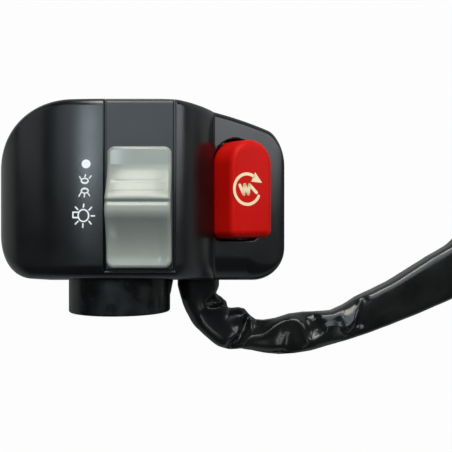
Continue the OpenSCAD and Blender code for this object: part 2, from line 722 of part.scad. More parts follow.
// Wires from the rivets and the start contacts to the lead, side by side through the grommet
tail_z = base_low - tail_len - wire_r - joint_gap;
start_tail_z = start_base_top - start_base_t - tail_len - wire_r - joint_gap;
function pod_point(p) = [button_x + p[0] * cos(pod_tilt) + p[2] * sin(pod_tilt), button_y + p[1],
    pod_face(button_x) - p[0] * sin(pod_tilt) + p[2] * cos(pod_tilt)];
wire_drop_y = button_y + start_pillar_y[0] - start_base_end - 2 * wire_r;
start_tail = [for (side = [-1, 1]) pod_point([side * start_rail_dx, 0, start_tail_z])[2]];
strap_clear = clamp_w / 2 + 0.3;
function wire_end(dx, dz) = [for (y = [clamp_y + strap_clear, clamp_y - strap_clear, -lower_len + 0.1])
    [lead_x + dx * wire_pitch, y, exit_z + dz * wire_pitch]];
wire_routes = [
    concat([[track_x - rail_dx, contact_y[0] + tail_r, tail_z],
        [track_x - rail_dx, contact_y[0] - tail_r, tail_z], [11, wire_drop_y, tail_z - 0.4],
        [16.4, wire_drop_y, 9], [19.8, wire_drop_y, 3], [20.4, wire_drop_y - 0.8, -3]], wire_end(-1, 1)),
    concat([[track_x + rail_dx - tail_r, contact_y[0], tail_z],
        [track_x + rail_dx + tail_r, contact_y[0], tail_z], [18.4, wire_drop_y + 0.4, 9],
        [22, wire_drop_y, 3], [22.8, wire_drop_y - 0.8, -3]], wire_end(1, 1)),
    concat([for (y = [tail_r, -tail_r]) pod_point([-start_rail_dx, y, start_tail_z])],
        [[18.6, -7, start_tail[0] - 1.3], [20.2, wire_drop_y + 0.4, -8.6]], wire_end(-1, -1)),
    concat([for (y = [tail_r, -tail_r]) pod_point([start_rail_dx, y, start_tail_z])],
        [[25.6, -7, start_tail[1] + 0.2], [25.4, wire_drop_y + 0.4, start_tail[1] + 1]], wire_end(1, -1))];

module inner_wires() color([0.6, 0.15, 0.1]) for (route = wire_routes)
    skin(tube_rings(route, wire_r, 8, [0.3, 0.1, 1]));

module lead_grommet() color([0.04, 0.04, 0.04]) translate([lead_x, 0, exit_z]) difference() {
    union() {
        bar_rod(grommet_r, -lower_len, -lower_len + wall + slide_gap + grommet_flange_t);
        translate([0, wall + slide_gap - lower_len, 0]) bar_rod(grommet_flange_r, 0, grommet_flange_t);
    }
    bar_rod(grommet_bore_r, -lower_len - over, 0);
}

// Strap over the wires, on two posts of the rear shell
module lead_clamp() color([0.7, 0.7, 0.72]) translate([lead_x, clamp_y, exit_z]) difference() {
    union() {
        bar_rod(clamp_r + strap_t - 0.2, -clamp_w / 2, clamp_w / 2);
        translate([-clamp_boss_dx - strap_end, -clamp_w / 2, -strap_t])
            cube([2 * (clamp_boss_dx + strap_end), clamp_w, strap_t]);
    }
    bar_rod(clamp_r, -clamp_w, clamp_w);
    translate([-clamp_r - over, -clamp_w, -clamp_r - 2 * over])
        cube([2 * (clamp_r + over), 2 * clamp_w, clamp_r + 2 * over - strap_t]);
    for (side = [-1, 1]) post(side * clamp_boss_dx, 0, small_hole_r, -strap_t - over, over);
}

module lead_clamp_screws() color([0.6, 0.6, 0.62]) for (side = [-1, 1])
    translate([lead_x + side * clamp_boss_dx, clamp_y, exit_z]) rotate([180, 0, 0])
        pan_screw(small_r, strap_t + small_bite, small_head_r - 0.1, small_head_t, small_slot);

// Sleeve of the lead from the grommet to the boot
module lead_sleeve() color([0.03, 0.03, 0.03]) skin(tube_rings(lead_route, lead_r, 10, [0, 0, 1]));

module lead_boot() color([0.05, 0.05, 0.05]) translate(lead_end) rotate([90, 0, 0]) {
    cylinder(r = lead_r - boot_groove, h = boot_len);
    for (k = [1:3]) translate([0, 0, k * boot_len / 4]) cylinder(r = lead_r, h = boot_len / 8);
}

// Connector body: six terminal ways in a chamfered housing, with a keeper flange and a ramped latch
connector_y = lead_end[1] - boot_len;
connector_end = connector_y - connector_len;
way_pitch = 4.4;
way_r = 1.6;
way_depth = 12;
terminal_r = 1.3;
terminal_back = 1.5;
latch_w = 5;
latch_t = 1.5;
latch_at = 4;
latch_ramp = 3;
connector_edge = 1.2;
keeper_out = 0.7;
keeper_len = 3;

// Section of the connector, flat below; inset makes it narrower and lower
module connector_section(inset) {
    w = connector_w / 2 - inset;
    h = connector_h - inset;
    c = connector_edge;
    polygon([[c - w, 0], [w - c, 0], [w, c], [w, h - c], [w - c, h], [c - w, h], [-w, h - c], [-w, c]]);
}

module connector_body() color([0.9, 0.9, 0.87]) difference() {
    translate([lead_end[0], connector_y, floor_z]) {
        rotate([90, 0, 0]) linear_extrude(connector_len) connector_section(keeper_out);
        rotate([90, 0, 0]) linear_extrude(keeper_len) connector_section(0);
        side_view(-latch_w / 2, latch_w / 2) translate([latch_at - connector_len, connector_h])
            polygon([[0, -over], [0, 0], [latch_ramp, latch_t], [connector_len - 2 * latch_at, latch_t],
                [connector_len - 2 * latch_at, -over]]);
    }
    for (x = [-1:1], z = [-1, 1])
        translate([lead_end[0] + x * way_pitch, 0, floor_z + connector_h / 2 + z * way_pitch / 2])
            bar_rod(way_r, connector_end - over, connector_end + way_depth);
}

module connector_terminals() color([0.8, 0.62, 0.3]) for (x = [-1:1], z = [-1, 1])
    translate([lead_end[0] + x * way_pitch, 0, floor_z + connector_h / 2 + z * way_pitch / 2])
        bar_rod(terminal_r, connector_end + terminal_back, connector_end + way_depth);

front_shell();
rear_shell();
bar_collar();
track_plate();
slider_knob();
slider_carrier();
knob_screw();
contact_bridge();
detent_leaf();
light_base();
light_contacts();
light_base_screws();
start_button();
start_spring();
stem_clip();
start_bridge();
start_base();
start_contacts();
start_base_screws();
housing_screws();
screw_inserts();
inner_wires();
lead_grommet();
lead_clamp();
lead_clamp_screws();
lead_sleeve();
lead_boot();
connector_body();
connector_terminals();
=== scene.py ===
import math

import bpy
import numpy as np
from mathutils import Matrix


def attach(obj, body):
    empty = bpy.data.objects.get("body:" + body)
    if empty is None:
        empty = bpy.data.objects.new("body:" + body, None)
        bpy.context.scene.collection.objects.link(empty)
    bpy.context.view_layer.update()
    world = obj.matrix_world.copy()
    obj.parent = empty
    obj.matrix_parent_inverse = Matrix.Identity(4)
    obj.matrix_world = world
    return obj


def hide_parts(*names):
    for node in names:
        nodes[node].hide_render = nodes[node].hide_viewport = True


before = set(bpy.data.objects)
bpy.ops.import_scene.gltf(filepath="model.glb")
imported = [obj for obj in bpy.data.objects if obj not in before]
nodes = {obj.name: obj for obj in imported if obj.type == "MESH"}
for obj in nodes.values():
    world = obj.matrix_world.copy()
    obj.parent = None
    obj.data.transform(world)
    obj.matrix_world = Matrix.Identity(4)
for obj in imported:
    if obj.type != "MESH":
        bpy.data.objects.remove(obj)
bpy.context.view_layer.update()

import openvdb
from mathutils import Vector, noise

# Camera: a close view straight down on the switch face, as the thumb sees it, with the
# handlebar's direction up the picture. The lens is a short telephoto at about 200 mm.
MM = 0.001
lens_data = bpy.data.cameras.new("top_view")
lens_data.sensor_width = 36.0
lens_data.lens = 56.89
lens_data.clip_start = 0.005
camera = bpy.data.objects.new("top_view", lens_data)
camera.location = (29.68 * MM, -10.1 * MM, 200 * MM)
bpy.context.scene.collection.objects.link(camera)
bpy.context.scene.camera = camera
bpy.context.scene.view_settings.view_transform = "Standard"

# Table and studio light: a white table under the switch's flat back, cool ceiling panels above it,
# two warm window panes beyond its upper end, a soft panel at either side, a slim strip in front
# and a dim room around them.
table_z = -17.0
paper_white, mirrored_white, room_light = 0.975, 0.06, 0.06


def new_material(name):
    material = bpy.data.materials.new(name)
    material.use_nodes = True
    tree = material.node_tree
    shader = next(n for n in tree.nodes if n.type == "BSDF_PRINCIPLED")
    return material, tree, shader


def add_node(tree, kind, **values):
    made = tree.nodes.new(kind)
    for name, value in values.items():
        setattr(made, name, value)
    return made


table_mesh = bpy.data.meshes.new("table")
table_half = 3.0
table_corners = [(table_half * a, table_half * b, 0) for a, b in ((-1, -1), (1, -1), (1, 1), (-1, 1))]
table_mesh.from_pydata(table_corners, [], [(0, 1, 2, 3)])
table = bpy.data.objects.new("table", table_mesh)
table.location = (0, 0, (table_z - 0.02) * MM)
bpy.context.scene.collection.objects.link(table)
table_paint, tree, shader = new_material("table_white")
shader.inputs["Base Color"].default_value = (0.3, 0.3, 0.3, 1)
shader.inputs["Roughness"].default_value = 0.8
# The camera sees the table as white paper; the switch's gloss mirrors it only faintly.
rays = add_node(tree, "ShaderNodeLightPath")
mirrored = add_node(tree, "ShaderNodeMath", operation="ADD")
fainter = add_node(tree, "ShaderNodeMath", operation="MULTIPLY")
fainter.inputs[1].default_value = mirrored_white
seen = add_node(tree, "ShaderNodeMath", operation="ADD")
share = add_node(tree, "ShaderNodeMath", operation="MULTIPLY", use_clamp=True)
share.inputs[1].default_value = paper_white
glow = add_node(tree, "ShaderNodeEmission")
blend = add_node(tree, "ShaderNodeMixShader")
output = next(n for n in tree.nodes if n.type == "OUTPUT_MATERIAL")
tree.links.new(rays.outputs["Is Glossy Ray"], mirrored.inputs[0])
tree.links.new(rays.outputs["Is Transmission Ray"], mirrored.inputs[1])
tree.links.new(mirrored.outputs[0], fainter.inputs[0])
tree.links.new(rays.outputs["Is Camera Ray"], seen.inputs[0])
tree.links.new(fainter.outputs[0], seen.inputs[1])
tree.links.new(seen.outputs[0], share.inputs[0])
tree.links.new(share.outputs[0], blend.inputs[0])
tree.links.new(shader.outputs[0], blend.inputs[1])
tree.links.new(glow.outputs[0], blend.inputs[2])
tree.links.new(blend.outputs[0], output.inputs[0])
table_mesh.materials.append(table_paint)

room = bpy.data.worlds.new("room")
room.use_nodes = True
tree = room.node_tree
dim = tree.nodes["Background"]
dim.inputs[0].default_value = (0.9, 0.95, 1.0, 1)
dim.inputs[1].default_value = room_light
white = add_node(tree, "ShaderNodeBackground")
white.inputs[0].default_value = (1.0, 1.0, 1.0, 1)
rays = add_node(tree, "ShaderNodeLightPath")
blend = add_node(tree, "ShaderNodeMixShader")
output = next(n for n in tree.nodes if n.type == "OUTPUT_WORLD")
tree.links.new(rays.outputs["Is Camera Ray"], blend.inputs[0])
tree.links.new(dim.outputs[0], blend.inputs[1])
tree.links.new(white.outputs[0], blend.inputs[2])
tree.links.new(blend.outputs[0], output.inputs[0])
bpy.context.scene.world = room


def softbox(name, place, aim, size, power, colour):
    """A flat lamp that lights and is mirrored, but isn't seen by the camera itself."""
    data = bpy.data.lights.new(name, "AREA")
    data.shape = "RECTANGLE"
    data.size, data.size_y = size
    data.energy = power
    data.color = colour
    lamp = bpy.data.objects.new(name, data)
    lamp.location = Vector(place)
    lamp.rotation_euler = (Vector(aim) - Vector(place)).to_track_quat("-Z", "Y").to_euler()
    lamp.visible_camera = False
    bpy.context.scene.collection.objects.link(lamp)


softbox("ceiling_lamp", (-0.158, 0.063, 0.50), (-0.158, 0.063, 0.0), (0.085, 0.075), 0.24,
        (0.82, 0.97, 1.05))
softbox("ceiling_left", (-0.31, 0.14, 0.50), (-0.31, 0.14, 0.0), (0.23, 0.23), 0.18, (0.85, 0.97, 1.03))
softbox("ceiling_middle", (0.065, 0.249, 0.50), (0.065, 0.249, 0.0), (0.37, 0.44), 1.35, (0.82, 0.97, 1.06))
softbox("window_left", (-0.10, 0.63, 0.40), (0.0, 0.0, 0.02), (0.18, 0.50), 3.1, (1.0, 0.98, 0.88))
softbox("window_right", (0.20, 0.63, 0.40), (0.05, 0.0, 0.02), (0.28, 0.44), 2.7, (1.0, 0.98, 0.92))
softbox("right_panel", (0.55, 0.185, 0.26), (0.03, 0.02, 0.0), (0.30, 0.36), 1.15, (0.93, 0.95, 1.0))
softbox("left_panel", (-0.62, 0.21, 0.25), (0.0, 0.0, 0.0), (0.36, 0.40), 0.27, (0.90, 0.97, 1.0))
softbox("front_strip", (0.118, -0.66, 0.50), (0.118, -0.66, 0.0), (0.03, 0.60), 0.42, (0.95, 1.0, 1.0))

# Lead sleeve: a thin glossy vinyl tube, loose round the wires, creased where it bends out of
# the housing and lying flat on the table further on. It is pushed over the grommet's spigot.
sleeve_route = [
    (21.6, -25.2, -7.5), (21.6, -30, -7.5), (22.4, -34, -8.6), (24.8, -38, -9.9), (29, -41, -11.2),
    (34.5, -42.4, -11.8), (41, -42.6, -11.8), (49, -41.8, -11.8), (58, -40.4, -11.8), (66.5, -37.8, -11.8),
    (75, -33.8, -11.8), (84, -30, -11.8), (93, -25.6, -11.8), (100.8, -20.6, -11.8), (106, -13.6, -11.8),
    (108.8, -5, -11.8), (109.4, 4, -11.8), (110.6, 12, -11.8), (114.8, 20, -11.8), (121.5, 25.5, -11.8),
    (130.3, 27.5, -11.8), (139, 25.5, -11.8), (145.8, 20, -11.8), (150, 12, -11.8), (151.3, 3, -11.8),
    (151.3, -6, -11.8)]


def smooth_line(points, parts):
    """Points of a Catmull-Rom curve through the given ones."""
    p = np.array(points, float)
    made = []
    for i in range(len(p) - 1):
        a, b, c, d = p[max(i - 1, 0)], p[i], p[i + 1], p[min(i + 2, len(p) - 1)]
        for k in range(parts):
            t = k / parts
            made.append(0.5 * (2 * b + (c - a) * t + (2 * a - 5 * b + 4 * c - d) * t * t
                               + (3 * b - a - 3 * c + d) * t ** 3))
    made.append(p[-1])
    return np.array(made)


def along(line):
    """Length run at each point of a line."""
    return np.r_[0, np.cumsum(np.linalg.norm(np.diff(line, axis=0), axis=1))]


fine_line = smooth_line(sleeve_route, 24)
fine_run = along(fine_line)
sleeve_len = fine_run[-1]
creased_len = 82
run = np.r_[np.arange(0, creased_len, 0.33), np.linspace(creased_len, sleeve_len, 150)]
line = np.stack([np.interp(run, fine_run, fine_line[:, k]) for k in range(3)], 1)
# Half widths to the bend's inside and outside and half height, at runs in millimetres. The widths
# were worked out beforehand from outline points read off the photograph.
inner_run = [0, 2.2, 4.2, 5.6, 9, 11.4, 13.9, 16.5, 19.3, 22.1, 24.6, 27.2, 29, 31.5, 35.4, 39.6, 44, 48.7,
             53, 57.6, 62, 67, 72, 77, 82, 87, 92, 104, 125, 150, 240]
inner_w = [6.1, 6.1, 5.4, 5.2, 6.8, 7.4, 7.0, 6.5, 7.3, 7.9, 7.8, 5.9, 4.8, 4.6, 4.9, 5.7, 5.7, 5.1,
           4.3, 4.7, 5.3, 5.2, 5.5, 6.2, 6.8, 7.2, 7.2, 6.8, 5.8, 5.3, 5.2]
outer_run = [0, 2.2, 4.8, 6.9, 9, 11.4, 13.9, 16.5, 19.3, 22.1, 25, 28, 31.5, 35.4, 39.6, 44, 48.7, 53, 57.6,
             62, 67, 72, 82, 87, 92, 104, 125, 150, 240]
outer_w = [6.0, 5.9, 5.1, 4.6, 4.3, 4.3, 4.0, 4.2, 4.8, 4.7, 3.9, 4.2, 5.0, 5.7, 5.9, 5.8, 5.3, 5.2, 5.3,
           5.8, 6.3, 6.4, 6.7, 7.1, 7.4, 6.9, 5.8, 5.3, 5.2]
high_run = [0, 8, 20, 28, 40, 55, 65, 90, 110, 140, 240]
high_w = [5.9, 5.3, 5.0, 4.7, 5.0, 4.5, 4.5, 4.0, 4.3, 5.0, 5.2]
half_in = np.interp(run, inner_run, inner_w)
half_out = np.interp(run, outer_run, outer_w)
half_up = np.interp(run, high_run, high_w)
settle_from, settle_len, table_gap = 6, 18, 0.05
settled = np.clip((run - settle_from) / settle_len, 0, 1)
line[:, 2] = (1 - settled) * line[:, 2] + settled * (table_z + half_up + table_gap)
ahead = np.gradient(line, axis=0)
ahead /= np.linalg.norm(ahead, axis=1)[:, None]
aside = np.cross([0, 0, 1.0], ahead)
aside /= np.linalg.norm(aside, axis=1)[:, None]
above = np.cross(ahead, aside)
around = 132
turn = 2 * np.pi * np.arange(around) / around
cos_t, sin_t = np.cos(turn)[None, :], np.sin(turn)[None, :]
# How boxy the section is: 2 is an ellipse, more is nearer to a box.
boxy_run = [0, 14, 30, 47, 56, 80, 150, 200]
boxy = np.interp(run, boxy_run, [2.2, 2.5, 2.8, 3.0, 4.2, 5.0, 4.0, 2.2])[:, None]
swell = (np.abs(cos_t) ** boxy + np.abs(sin_t) ** boxy) ** (-1 / boxy)
across, upright = swell * cos_t, swell * sin_t
side_w = np.where(cos_t > 0, half_in[:, None], half_out[:, None])
skin = (line[:, None, :] + (side_w * across)[..., None] * aside[:, None, :]
        + (half_up[:, None] * upright)[..., None] * above[:, None, :])


def ease(v, low, high):
    """A soft step from 0 at low to 1 at high."""
    t = np.clip((v - low) / (high - low), 0, 1)
    return t * t * (3 - 2 * t)


def near_line(points, corners):
    """Distance from points to a smooth line in plan, the side they are on and how far along it they are."""
    corners = smooth_line(corners, 6)
    runs = along(corners) / along(corners)[-1]
    best, side, part = (np.full(points.shape[:-1], v) for v in (1e9, 0.0, 0.0))
    for i, (a, b) in enumerate(zip(corners[:-1], corners[1:])):
        d = b - a
        t = np.clip(((points - a) @ d) / (d @ d), 0, 1)
        gap = points - (a + t[..., None] * d)
        far = np.linalg.norm(gap, axis=-1)
        nearer = far < best
        side = np.where(nearer, np.sign(d[0] * gap[..., 1] - d[1] * gap[..., 0]), side)
        part = np.where(nearer, runs[i] + t * (runs[i + 1] - runs[i]), part)
        best = np.minimum(far, best)
    return best, side, part


plan = skin[..., :2]
top = ease(upright, 0.15, 0.75)
fold = np.zeros(skin.shape[:2])


def fold_along(corners, crest, crest_w, step=0.0, step_len=1.0, fall=0.0, front=0.0, back=9.0):
    """Height of a fold along a line in plan: a crest, a step and a slope behind it and a slope in front.

    Behind is left of the line as it is drawn, and the step and the slope there end at the distance back.
    """
    gap, side, part = near_line(plan, corners)
    strength = ease(part, 0, 0.1) * ease(1 - part, 0, 0.1)
    behind = (side > 0) * (step * ease(gap, 0, step_len) + fall * gap) * ease(back - gap, 0, back / 2)
    before = (side < 0) * front * np.minimum(gap, 9)
    return strength * (crest * np.exp(-(gap / crest_w) ** 2) - behind - before)


# Mouth of the pocket inside the first bend.
fold += fold_along([(23.0, -31.6), (23.6, -32.7), (24.9, -33.4), (26.8, -33.6), (28.4, -33.1), (29.4, -32.2),
                    (29.8, -30.8)], crest=0.45, crest_w=0.6, step=2.6, step_len=1.2, back=6.0)
# Edge of the upper length where it folds over the lower one, and the lip beyond that slot.
fold += fold_along([(35.4, -34.0), (34.5, -36.6), (33.8, -38.9), (33.2, -41.0), (31.3, -42.9), (29.7, -44.5),
                    (29.1, -46.2)], crest=0.4, crest_w=0.7, step=1.7, step_len=0.8, back=3.4)
fold += fold_along([(36.5, -34.6), (36.8, -36.9), (36.6, -39.2), (37.1, -41.3)], crest=0.6, crest_w=0.6)
# Long wave: its crest is the upper edge of the near wall, over a lower panel behind it.
fold += fold_along([(33.2, -43.9), (35.5, -42.7), (37.8, -42.1), (40.2, -41.7), (42.2, -40.4), (44.2, -38.6),
                    (46.3, -37.3), (48.2, -36.9), (50.1, -37.2), (51.4, -38.3), (52.2, -40.1), (52.8, -41.8),
                    (53.8, -43.6), (54.7, -44.8)],
                   crest=0.6, crest_w=1.1, step=1.2, step_len=2.2, fall=0.12, front=0.28, back=7.0)
# Second, lower wave up to the dent, and the soft ridge between the panels behind the two.
fold += fold_along([(54.1, -44.5), (55.2, -43.2), (56.5, -41.5), (58.2, -40.1), (60.3, -39.2), (62.6, -39.5),
                    (64.6, -40.4), (66.4, -41.5)],
                   crest=0.3, crest_w=0.9, step=0.25, step_len=1.3, front=0.18, back=4.0)
fold += fold_along([(54.7, -42.4), (56.2, -39.8), (57.3, -37.5), (57.9, -34.9)], crest=0.1, crest_w=0.9)
# Bulge of the near wall, the crease behind the dent and a faint ridge along the last length.
fold += fold_along([(48.2, -39.8), (47.4, -41.8), (46.7, -43.9), (46.3, -46.8)], crest=0.36, crest_w=1.7)
fold += fold_along([(70.4, -30.5), (69.3, -35.1), (68.7, -40.1)], crest=-0.9, crest_w=1.2)
fold += fold_along([(72.2, -38.1), (75.4, -36.2), (78.6, -34.6)], crest=0.2, crest_w=0.5)
# The dent that catches the light: its centre, half length, half width and the angle of its length,
# then its slopes along x and y.
dent_at, dent_len, dent_w, dent_turn = (65.9, -35.4), 4.2, 2.0, math.radians(77)
dent_x, dent_y = 0.16, -0.46
dx, dy = plan[..., 0] - dent_at[0], plan[..., 1] - dent_at[1]
lengthwise = (math.cos(dent_turn) * dx + math.sin(dent_turn) * dy) / dent_len
crosswise = (math.cos(dent_turn) * dy - math.sin(dent_turn) * dx) / dent_w
fold += ease(1.5 - np.hypot(lengthwise, crosswise), 0, 0.7) * (dent_x * dx + dent_y * dy)
for _ in range(3):
    fold = (np.roll(fold, 1, 1) + 2 * fold + np.roll(fold, -1, 1)) / 4
    fold[1:-1] = (fold[:-2] + 2 * fold[1:-1] + fold[2:]) / 4
# The top leans down to the outside of the bend, and the vinyl is a little uneven everywhere.
uneven, uneven_scale = 0.07, 0.14
lean = (0.10 + 0.05 * ease(run, 58, 72)) * ease(run, 22, 40) * ease(170 - run, 0, 30)
fold += lean[:, None] * across * side_w
for i in range(len(run)):
    for k in range(around):
        fold[i, k] += uneven * noise.noise(Vector(skin[i, k]) * uneven_scale + Vector((0, 0, 7)))
ends = np.clip(run / 1.5, 0, 1) * np.clip((sleeve_len - run) / 4, 0, 1)
skin[..., 2] += fold * top * ends[:, None]
skin[..., 2] = np.maximum(skin[..., 2], table_z)


def link_mesh(name, points, faces, material, body):
    """A smooth mesh piece, in millimetres, that rides on a body."""
    mesh = bpy.data.meshes.new(name)
    mesh.from_pydata((np.asarray(points) * MM).tolist(), [], faces)
    mesh.shade_smooth()
    mesh.materials.append(material)
    piece = bpy.data.objects.new(name, mesh)
    bpy.context.scene.collection.objects.link(piece)
    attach(piece, body)
    return piece


def tube_faces(rings, sides):
    """Four-sided faces between each ring of points and the next."""
    return [(i * sides + k, (i + 1) * sides + k,
             (i + 1) * sides + (k + 1) % sides, i * sides + (k + 1) % sides)
            for i in range(rings - 1) for k in range(sides)]


count = len(run)
faces = [tuple(reversed(f)) for f in tube_faces(count, around)]
points = np.concatenate([skin.reshape(-1, 3), line[:1], line[-1:]])
faces += [(count * around, k, (k + 1) % around) for k in range(around)]
last = (count - 1) * around
faces += [(count * around + 1, last + (k + 1) % around, last + k) for k in range(around)]


def surface_group(name):
    """Varied colour, roughness and height of a moulded or drawn surface: broad clouds and a fine grain."""
    group = bpy.data.node_groups.new(name, "ShaderNodeTree")
    face = group.interface
    colour, number = "NodeSocketColor", "NodeSocketFloat"
    for label, kind, value in (("Dark", colour, (0, 0, 0, 1)), ("Light", colour, (1, 1, 1, 1)),
                               ("Smooth", number, 0.3), ("Rough", number, 0.4), ("Cloud Scale", number, 120),
                               ("Grain Scale", number, 4000), ("Grain", number, 0.3)):
        socket = face.new_socket(label, in_out="INPUT", socket_type=kind)
        socket.default_value = value
    for label, kind in (("Color", colour), ("Roughness", number), ("Height", number)):
        face.new_socket(label, in_out="OUTPUT", socket_type=kind)
    take, give = add_node(group, "NodeGroupInput"), add_node(group, "NodeGroupOutput")
    where = add_node(group, "ShaderNodeTexCoord")
    cloud = add_node(group, "ShaderNodeTexNoise")
    cloud.inputs["Detail"].default_value = 3
    grain = add_node(group, "ShaderNodeTexNoise")
    grain.inputs["Detail"].default_value = 2
    tint = add_node(group, "ShaderNodeMix", data_type="RGBA")
    matt = add_node(group, "ShaderNodeMix", data_type="FLOAT")
    spread = add_node(group, "ShaderNodeMapRange")
    spread.inputs["From Min"].default_value = 0.35
    spread.inputs["From Max"].default_value = 0.65
    lift = add_node(group, "ShaderNodeMath", operation="MULTIPLY")
    join = group.links.new
    for texture, scale in ((cloud, "Cloud Scale"), (grain, "Grain Scale")):
        join(where.outputs["Object"], texture.inputs["Vector"])
        join(take.outputs[scale], texture.inputs["Scale"])
    join(cloud.outputs[0], spread.inputs["Value"])
    join(spread.outputs[0], tint.inputs["Factor"])
    join(take.outputs["Dark"], tint.inputs["A"])
    join(take.outputs["Light"], tint.inputs["B"])
    join(spread.outputs[0], matt.inputs["Factor"])
    join(take.outputs["Smooth"], matt.inputs["A"])
    join(take.outputs["Rough"], matt.inputs["B"])
    join(grain.outputs[0], lift.inputs[0])
    join(take.outputs["Grain"], lift.inputs[1])
    join(tint.outputs["Result"], give.inputs["Color"])
    join(matt.outputs["Result"], give.inputs["Roughness"])
    join(lift.outputs[0], give.inputs["Height"])
    return group


moulded_surface = surface_group("moulded_surface")


def finish_of(name, dark, light, smooth, rough, cloud, grain, depth, metallic=0.0, specular=0.5):
    """A material whose colour, roughness and bump vary with the moulded surface group."""
    material, tree, shader = new_material(name)
    group = add_node(tree, "ShaderNodeGroup", node_tree=moulded_surface)
    group.inputs["Dark"].default_value = (*dark, 1)
    group.inputs["Light"].default_value = (*light, 1)
    group.inputs["Smooth"].default_value = smooth
    group.inputs["Rough"].default_value = rough
    group.inputs["Cloud Scale"].default_value = cloud
    group.inputs["Grain Scale"].default_value = grain
    group.inputs["Grain"].default_value = 1.0
    bump = add_node(tree, "ShaderNodeBump")
    bump.inputs["Strength"].default_value = 1.0
    bump.inputs["Distance"].default_value = depth * MM
    tree.links.new(group.outputs["Color"], shader.inputs["Base Color"])
    tree.links.new(group.outputs["Roughness"], shader.inputs["Roughness"])
    tree.links.new(group.outputs["Height"], bump.inputs["Height"])
    tree.links.new(bump.outputs[0], shader.inputs["Normal"])
    shader.inputs["Metallic"].default_value = metallic
    shader.inputs["Specular IOR Level"].default_value = specular
    return material


vinyl = finish_of("sleeve_vinyl", (0.006, 0.006, 0.006), (0.012, 0.0115, 0.011),
                  0.19, 0.27, 120, 2600, 0.01)
sleeve = link_mesh("sleeve", points, faces, vinyl, "housing")
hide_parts("lead_sleeve")

# Front shell: an injection-moulded black nylon half with the lobe, the slider's channel, the
# steep flank and the tilted start pod; two screws from the back hold it to the rear shell.
bar_r, collar_r, flange_r, collar_gap = 11.1, 14.0, 15.2, 0.05
lobe_reach, pod_reach, upper_len, lower_len = 31.0, 46.0, 21.2, 25.2
face_h, back_h, wall = 26.0, 17.0, 2.6
track_x, track_w, track_low, recess_floor = 8.6, 17.4, -21.2, 24.6
face_l, face_r = track_x - track_w / 2, track_x + track_w / 2
slot_half, slot_low, slot_high, slot_floor = 2.7, -9.4, 8.0, 20
pod_tilt, pod_x, pod_h = math.radians(31), 26.3, 12.8
edge_blend, lip = 1.6, 0.3
# Rounded corners of the outline, each its length along x and its depth along y.
lobe_top, lobe_low, pod_top, pod_low = (22.6, 20.4), (12, 14), (4.8, 8), (9, 9)
pod_end, sweep_from, sweep_r = (3, 0.6), 12, 88
lobe_edge, lobe_power, flank_power, flank_fall = 4, 2.2, 1.3, 3
back_l, back_r, back_lobe, back_pod = -11, 22, 13, 14.5
# Radii of the rim and of the heel, which grows to the right; low walls take a share of their height.
rim_r, back_rim_r, heel_r, heel_more, heel_run = 1.8, 3.0, 3.2, 3, 10
low_share, heel_draft = 0.85, 0.09
button_x, button_y, button_w, button_len = 32.6, -0.4, 13.4, 26.0
well_depth, well_wall, well_floor, button_gap = 4.6, 1.8, 2, 0.6
guide_r, guide_low, guide_top, stem_bore = 4.0, -9, -5, 2.28
screw_at = ((-20.5, -2.0), (19.0, 14.6))
boss_r, insert_r, insert_depth, flank_boss_top = 4.6, 3.35, 8.5, 9.5
saddle_r, saddle_len, end_saddle_wall, end_saddle_len = 16.2, 6.4, 3, 6
seat_len, groove_low, groove_high = 7.4, 2.6, 5
# Posts that the two contact bases are screwed to.
post_r, light_post_side, light_posts, light_post_low = 1.9, 8.6, (-13.4, 12.4), 17
start_posts, start_post_low = (-8.4, 6.4), -16.65
# Ribs stay this far under the outer skin, and the halves meet with this gap and edge.
under_skin, parting_gap, parting_edge = 0.4, 0.04, 0.2


def corner_drop(s, a, b):
    """How far a rounded corner, a long and b deep, has fallen at s along it."""
    return b * (1 - np.sqrt(1 - np.clip(s / a, 0, 1) ** 2))


def upper_edge(x):
    lobe = corner_drop(lobe_top[0] - lobe_reach - x, *lobe_top)
    sweep = np.maximum(0, x - sweep_from) ** 2 / (2 * sweep_r)
    return upper_len - lobe - sweep - corner_drop(x - pod_reach + pod_top[0], *pod_top)


def lower_edge(x):
    lobe = corner_drop(lobe_low[0] - lobe_reach - x, *lobe_low)
    return -lower_len + lobe + corner_drop(x - pod_reach + pod_low[0], *pod_low)


def pod_face(x):
    return pod_h - (x - pod_x) * math.tan(pod_tilt)


def lobe_height(x):
    s = np.clip((face_l - x) / (face_l + lobe_reach), 0, 1)
    return lobe_edge + (face_h - lobe_edge) * (1 - s ** lobe_power) ** (1 / lobe_power)


def blend_more(a, b, k):
    """The larger of two heights, with the corner between them filled over a width k."""
    return np.maximum(a, b) + np.maximum(k - np.abs(a - b), 0) ** 2 / (4 * k)


def front_height(x):
    s = np.clip((x - face_r) / (pod_x - face_r), 0, 1)
    flank = pod_h + (face_h - pod_h) * (1 - s ** flank_power) ** (1 / flank_power)
    flank = flank - np.maximum(0, x - pod_x) * flank_fall
    pod = pod_face(x) - corner_drop(x - pod_reach + pod_end[0], *pod_end)
    right = np.where(x < face_r, face_h, blend_more(flank, pod, edge_blend))
    return np.where(x < face_l, lobe_height(x), right)


def back_height(x):
    lobe = corner_drop(back_l - x, lobe_reach + back_l, back_lobe)
    return back_h - lobe - corner_drop(x - back_r, pod_reach - back_r, back_pod)


def round_max(a, b, r):
    """The farther of two distances, with the edge between them rounded to r."""
    return np.minimum(np.maximum(a, b), -r) + np.hypot(np.maximum(a + r, 0), np.maximum(b + r, 0))


def front_section(x, y, z):
    high = front_height(x)
    rim = round_max(z - high, y - upper_edge(x), np.minimum(low_share * high, rim_r))
    heel = heel_r + heel_more * np.clip((x - face_r) / heel_run, 0, 1)
    return round_max(rim, lower_edge(x) + heel_draft * z - y, np.minimum(low_share * high, heel))


